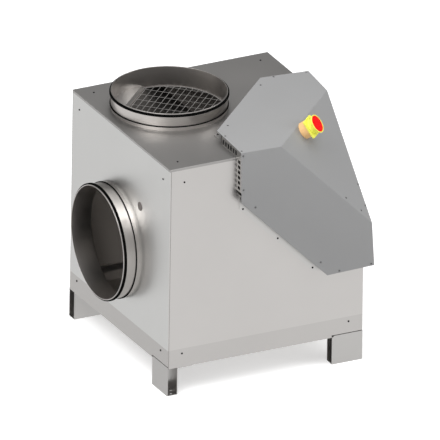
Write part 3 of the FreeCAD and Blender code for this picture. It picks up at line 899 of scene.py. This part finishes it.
bm = bmesh.new()
bmesh.ops.create_cube(bm, size=1.0)
bmesh.ops.scale(bm, vec=(PLATE_SIDE, PLATE_SIDE, PLATE_THICKNESS), verts=bm.verts)
bmesh.ops.translate(bm, vec=(0, 0, DRUM_HEIGHT + PLATE_THICKNESS / 2), verts=bm.verts)
upright = [edge for edge in bm.edges if abs(edge.verts[0].co.z - edge.verts[1].co.z) > PLATE_THICKNESS / 2]
bmesh.ops.bevel(bm, geom=upright, offset=PLATE_CORNER, segments=PLATE_CORNER_STEPS, profile=0.5,
                affect="EDGES", material=-1)
rim = [edge for edge in bm.edges if edge.calc_face_angle(0) > EDGE_ANGLE]
bmesh.ops.bevel(bm, geom=rim, offset=PLATE_EDGE, segments=PLATE_EDGE_STEPS, profile=0.5, affect="EDGES",
                material=-1)
switch_part(bm, "isolator_cover", yellow_plastic, "casing", ["isolator_plate"])

knob_low = DRUM_HEIGHT + PLATE_THICKNESS + KNOB_GAP
knob_high = knob_low + KNOB_HEIGHT
bore = KNOB_RIM - KNOB_RIM_WIDTH
waist = []
for step in range(WAIST_STEPS + 1):
    share = step / WAIST_STEPS
    flare = (KNOB_RIM - KNOB_NECK) * share ** 2.4
    foot = (KNOB_FOOT - KNOB_NECK) * (1 - share) ** 3
    waist.append((KNOB_NECK + flare + foot, knob_low + (KNOB_HEIGHT - KNOB_RIM_HEIGHT) * share))
knob_outline = ([(0, knob_low)] + waist
                + [(KNOB_RIM, knob_high - KNOB_ROUND), (KNOB_RIM - 0.3 * MM, knob_high - 0.3 * MM),
                   (KNOB_RIM - KNOB_ROUND, knob_high), (bore + 0.8 * MM, knob_high),
                   (bore + 0.2 * MM, knob_high - 0.3 * MM), (bore, knob_high - KNOB_ROUND),
                   (bore, knob_high - KNOB_RECESS), (0, knob_high - KNOB_RECESS)])
switch_part(turned(knob_outline, KNOB_STEPS, closed=False), "isolator_handle_grip", yellow_plastic,
            "isolator_handle", ["isolator_knob"])

cap_radius = bore - CAP_GAP
cap_low = knob_high - KNOB_RECESS
dome_radius = cap_radius - CAP_BEVEL[0]
dome_foot = cap_low + CAP_BEVEL[1]
cap_outline = [(0, cap_low), (cap_radius, cap_low), (cap_radius, cap_low + CAP_WALL)]
for step in range(CAP_STEPS + 1):
    angle = math.pi / 2 * step / CAP_STEPS
    cap_outline.append((dome_radius * math.cos(angle), dome_foot + CAP_DOME * math.sin(angle)))
switch_part(turned(cap_outline, KNOB_STEPS, closed=False), "isolator_red_cap", red_plastic,
            "isolator_handle", ["isolator_cap"])

# %% [markdown]
# ## Screws and rivets
#
# Small dark screws hold the sheets. Each is a pan head with a recess, made again at every place, and
# all screws of one kind are joined to one piece. The places are depths behind the cube's faces.

# %% Screws
HEAD_RADIUS = 3.0 * MM
HEAD_HEIGHT = 1.8 * MM
WASHER_RADIUS = 3.5 * MM
WASHER_HEIGHT = 0.4 * MM
HEAD_STEPS = 18
INSET = 54 * MM
LOW_ROW_HEIGHT = 150 * MM


def screw_mesh():
    """A pan head screw about Z, its underside at zero."""
    bm = turned([(0, 0), (WASHER_RADIUS, 0), (WASHER_RADIUS, WASHER_HEIGHT), (HEAD_RADIUS, WASHER_HEIGHT),
                 (HEAD_RADIUS, HEAD_HEIGHT * 0.7), (HEAD_RADIUS * 0.85, HEAD_HEIGHT * 0.93),
                 (HEAD_RADIUS * 0.62, HEAD_HEIGHT), (0, HEAD_HEIGHT)], HEAD_STEPS, closed=False)
    top = [face for face in bm.faces if face.calc_center_median().z > HEAD_HEIGHT * 0.99]
    merged = bmesh.ops.dissolve_faces(bm, faces=top)["region"]
    bmesh.ops.inset_individual(bm, faces=merged, thickness=HEAD_RADIUS * 0.2)
    bmesh.ops.translate(bm, vec=(0, 0, -HEAD_HEIGHT * 0.45), verts=list(merged[0].verts))
    return bm


def screws(name, places, finish):
    """One piece with a screw at each (point, outward direction)."""
    whole = bmesh.new()
    for point, outward in places:
        single = stood(screw_mesh(), point, outward)
        mesh = bpy.data.meshes.new("one_screw")
        single.to_mesh(mesh)
        single.free()
        whole.from_mesh(mesh)
        bpy.data.meshes.remove(mesh)
    finished(whole, name, finish)


LEFT = Vector((-1, 0, 0))
FRONT = Vector((0, -1, 0))
RIGHT = Vector((1, 0, 0))
BACK = Vector((0, 1, 0))
far = cube_side - INSET
low_row = lid_high.z - LOW_ROW_HEIGHT
casing_places = [(behind(right, front, 0), UP) for right, front in ((far, INSET), (far, far), (INSET, far))]
for sideways in (INSET, far):
    for depth in (INSET, low_row):
        casing_places.append((behind(cube_side, sideways, depth), LEFT))
        casing_places.append((behind(sideways, cube_side, depth), BACK))
casing_places += [(behind(far, 0, INSET), FRONT), (behind(far, 0, low_row), FRONT),
                  (behind(INSET, 0, low_row), FRONT), (behind(0, far, INSET), RIGHT),
                  (behind(0, far, low_row), RIGHT), (behind(0, INSET, low_row), RIGHT)]
screws("casing_screws", casing_places, screw_steel)

# %% [markdown]
# On each of its three sides the hood is riveted to the slotted plates and to the rim, and the rim's
# foot is screwed to the casing. The hood is symmetric about its corner, so one pattern in the plane of
# a side serves all three, in millimetres: `on_side` puts a pair of depths on the two axes that span
# the side, and a third depth square to it.

# %% Screws and rivets on the hood
RIVETS = [(478, -15), (478, 109), (432.5, 181)]
FOOT_SCREWS = [(463, 195), (329, 329)]
RIM_SHEET = 2 * MM
END_SCREWS = [(-14, 78, 226), (-14, 22, 282), (75, -9, 224), (16, -8, 282)]
OUTWARD = [RIGHT, FRONT, UP]


def both_ways(pairs):
    """The pairs and their mirror images."""
    return sorted({pair for a, b in pairs for pair in ((a, b), (b, a))})


def on_side(index, pair, depth):
    """A point on one side of the cube, from two depths in its plane and one square to it."""
    depths = list(pair)
    depths.insert(index, depth)
    return behind(*depths)


hood_places = []
foot_places = []
for index in range(3):
    skin_outward = Vector((1, -1, 1)) * HOOD_SLOPE + OUTWARD[index] * (1 - HOOD_SLOPE)
    for a, b in both_ways(RIVETS):
        skin_depth = HOOD_BASE - HOOD_SLOPE * (a + b) * MM
        hood_places.append((on_side(index, (a * MM, b * MM), skin_depth), skin_outward))
    for a, b in both_ways(FOOT_SCREWS):
        foot_places.append((on_side(index, (a * MM, b * MM), -RIM_SHEET), OUTWARD[index]))
for right, front, top in END_SCREWS:
    spare = HOOD_END_SUM - (right + front + top) * MM
    hood_places.append((behind(right * MM, front * MM, top * MM + spare), BODY_DIAGONAL))
screws("hood_rivets", hood_places, rivet_steel)
screws("rim_foot_screws", foot_places, screw_steel)

# %% [markdown]
# ## Blanking plug
#
# A plug closes a cable hole in the left wall. It is a moulded disc with a rim round a shallow dish, so
# one more turned outline makes it.

# %% Blanking plug
PLUG_RIM = 3 * MM
PLUG_SLOPE = 1 * MM
PLUG_DISH = 0.8 * MM
PLUG_STEPS = 48

plug_low, plug_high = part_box("cable_plug")
plug_radius = (plug_high.y - plug_low.y) / 2
plug_length = plug_high.x - plug_low.x
rim_radius = plug_radius - PLUG_RIM
plug_outline = [(0, 0), (plug_radius, 0), (plug_radius, plug_length - 0.7 * MM),
                (plug_radius - 0.3 * MM, plug_length - 0.2 * MM), (plug_radius - 0.9 * MM, plug_length),
                (rim_radius, plug_length), (rim_radius - PLUG_SLOPE, plug_length - PLUG_DISH),
                (0, plug_length - PLUG_DISH)]
plug_seat = Vector((plug_high.x, (plug_low.y + plug_high.y) / 2, (plug_low.z + plug_high.z) / 2))
finished(stood(turned(plug_outline, PLUG_STEPS, closed=False), plug_seat, LEFT), "cable_plug_moulded",
         plug_plastic, replaced=["cable_plug"])

# %% [markdown]
